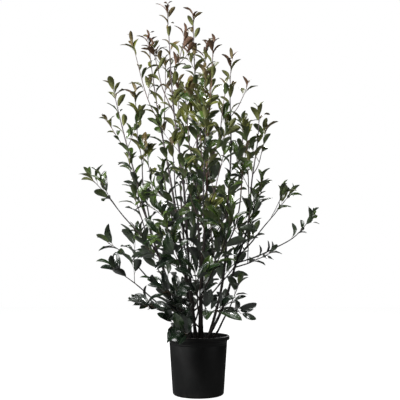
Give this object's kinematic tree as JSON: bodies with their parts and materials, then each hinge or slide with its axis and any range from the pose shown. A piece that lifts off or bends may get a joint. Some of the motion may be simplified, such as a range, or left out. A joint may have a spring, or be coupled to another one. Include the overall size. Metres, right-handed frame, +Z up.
{
  "type": "potted photinia shrub",
  "caption": "Evergreen photinia shrub with upright stems, glossy dark leaves and bronze-red young tips, growing in a round black nursery pot.",
  "frame": {"origin": "middle of the pot's flat underside", "axes": "+Z up along the plant, -Y towards the pictured front, +X to its right"},
  "size_m": [1.1086, 0.9813, 1.7998],
  "materials": {
    "pot": "matte",
    "soil": "matte",
    "bark": "matte",
    "leaves": "satin"
  },
  "bodies": {
    "root": {"pot": "pot", "soil": "soil", "stem_1": "bark", "stem_2": "bark", "stem_3": "bark", "stem_4": "bark", "stem_5": "bark", "stem_6": "bark", "stem_7": "bark", "stem_8": "bark", "stem_9": "bark", "stem_10": "bark", "bough_left_long": "bark", "bough_left_tall": "bark", "bough_left_middle": "bark", "bough_left_low": "bark", "bough_left_front": "bark", "bough_left_inner": "bark", "bough_right_long": "bark", "bough_right_reach": "bark", "bough_right_tall": "bark", "bough_back_left": "bark", "bough_back_right": "bark", "bough_back_middle": "bark", "foliage_stem_1": "leaves", "foliage_stem_2": "leaves", "foliage_stem_3": "leaves", "foliage_stem_4": "leaves", "foliage_stem_5": "leaves", "foliage_stem_6": "leaves", "foliage_stem_7": "leaves", "foliage_stem_8": "leaves", "foliage_stem_9": "leaves", "foliage_stem_10": "leaves", "foliage_left_long": "leaves", "foliage_left_tall": "leaves", "foliage_left_middle": "leaves", "foliage_left_low": "leaves", "foliage_left_front": "leaves", "foliage_left_inner": "leaves", "foliage_right_long": "leaves", "foliage_right_reach": "leaves", "foliage_right_tall": "leaves", "foliage_back_left": "leaves", "foliage_back_right": "leaves", "foliage_back_middle": "leaves", "foliage_left_foot": "leaves", "foliage_left_rim": "leaves", "foliage_left_twig": "leaves", "foliage_left_spur": "leaves", "foliage_right_low": "leaves", "foliage_right_spur": "leaves", "foliage_back_low_left": "leaves", "foliage_back_low_right": "leaves", "foliage_back_foot": "leaves", "foliage_front_left": "leaves", "foliage_front_right": "leaves", "foliage_front_low": "leaves", "foliage_front_foot": "leaves"}
  },
  "joints": []
}
